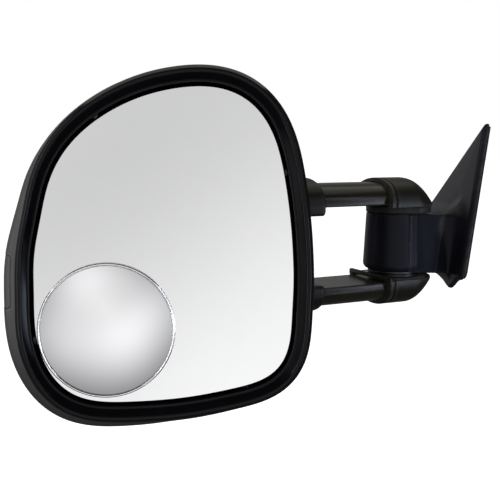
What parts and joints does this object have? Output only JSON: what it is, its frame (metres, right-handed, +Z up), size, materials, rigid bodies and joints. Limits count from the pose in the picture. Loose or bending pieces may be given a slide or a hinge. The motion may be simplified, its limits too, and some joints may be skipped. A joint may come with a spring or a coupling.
{
  "type": "towing mirror",
  "caption": "Left-hand folding, sliding twin-arm towing mirror on a triangular door mount, with an adjustable glass and a round convex spot mirror.",
  "frame": {"origin": "a point on the flat face of the gasket that bears on the door, behind the boss", "axes": "+X from the mirror towards the door, +Y forward along the vehicle, +Z up; the door face leans 9 degrees, its top inboard"},
  "size_m": [0.3996, 0.2773, 0.2576],
  "materials": {
    "mount_black": "fine moulded texture, satin",
    "shell_black": "fine moulded grain",
    "cover_black": "satin moulded",
    "frame_black": "moulded, unfinished",
    "bezel_gloss": "high gloss",
    "tube_black": "satin black coating on aluminium",
    "cast_alloy": "as cast",
    "steel": "turned",
    "zinc_steel": "zinc plated",
    "brass": "machined",
    "rubber": "matt closed cell",
    "foam": "foam tape",
    "nylon": "natural nylon",
    "mirror": "silvered glass",
    "bright_rim": "bright polished edge"
  },
  "bodies": {
    "door_mount": {"mount_base": "mount_black", "sail_cover": "mount_black", "door_gasket": "rubber", "mount_insert_1": "brass", "mount_insert_2": "brass", "mount_insert_3": "brass", "lower_pivot_bush": "nylon", "upper_pivot_bush": "nylon", "fixed_detent_ring": "steel"},
    "arms": {"moving_detent_ring": "steel", "upper_wear_disc": "frame_black", "upper_tube": "tube_black", "lower_tube": "tube_black", "upper_tube_stop": "frame_black", "lower_tube_stop": "frame_black", "upper_elbow": "cast_alloy", "lower_elbow": "cast_alloy", "upper_elbow_cover": "cover_black", "lower_elbow_cover": "cover_black", "upper_arm_screw_1": "zinc_steel", "upper_arm_screw_2": "zinc_steel", "lower_arm_screw_1": "zinc_steel", "lower_arm_screw_2": "zinc_steel", "fold_shaft": "steel", "shaft_washer": "zinc_steel", "shaft_nut": "zinc_steel"},
    "head": {"head_shell": "shell_black", "side_blanking_plug": "shell_black", "bezel": "bezel_gloss", "bezel_screw_1": "zinc_steel", "bezel_screw_2": "zinc_steel", "bezel_screw_3": "zinc_steel", "bezel_screw_4": "zinc_steel", "upper_socket_sleeve": "cover_black", "lower_socket_sleeve": "cover_black", "upper_glide_bush": "nylon", "lower_glide_bush": "nylon", "head_frame": "frame_black", "slide_lock_shoe": "nylon", "slide_lock_screw": "zinc_steel", "glass_pivot_post": "frame_black"},
    "glass_pivot": {"pivot_ball": "nylon"},
    "glass": {"glass_carrier": "frame_black", "glass_tape": "foam", "mirror_glass": "mirror", "spot_mirror_pad": "foam", "spot_mirror": "mirror", "spot_mirror_rim": "bright_rim"}
  },
  "joints": [
    {"name": "fold", "type": "hinge", "parent": "door_mount", "child": "arms", "pos_m": [-0.0673, -0.055, -0.008], "axis": [0, 0, 1], "range_deg": [-60, 60]},
    {"name": "head_slide", "type": "slide", "parent": "arms", "child": "head", "axis": [-0.9489, -0.3156, 0], "range_m": [-0.054, 0.034]},
    {"name": "glass_pan", "type": "hinge", "parent": "head", "child": "glass_pivot", "pos_m": [-0.2703, -0.16341, 0.00447], "axis": [0, 0.0419, 0.9991], "range_deg": [-7, 7]},
    {"name": "glass_tilt", "type": "hinge", "parent": "glass_pivot", "child": "glass", "pos_m": [-0.2703, -0.16341, 0.00447], "axis": [1, 0, 0], "range_deg": [-7, 7]}
  ]
}
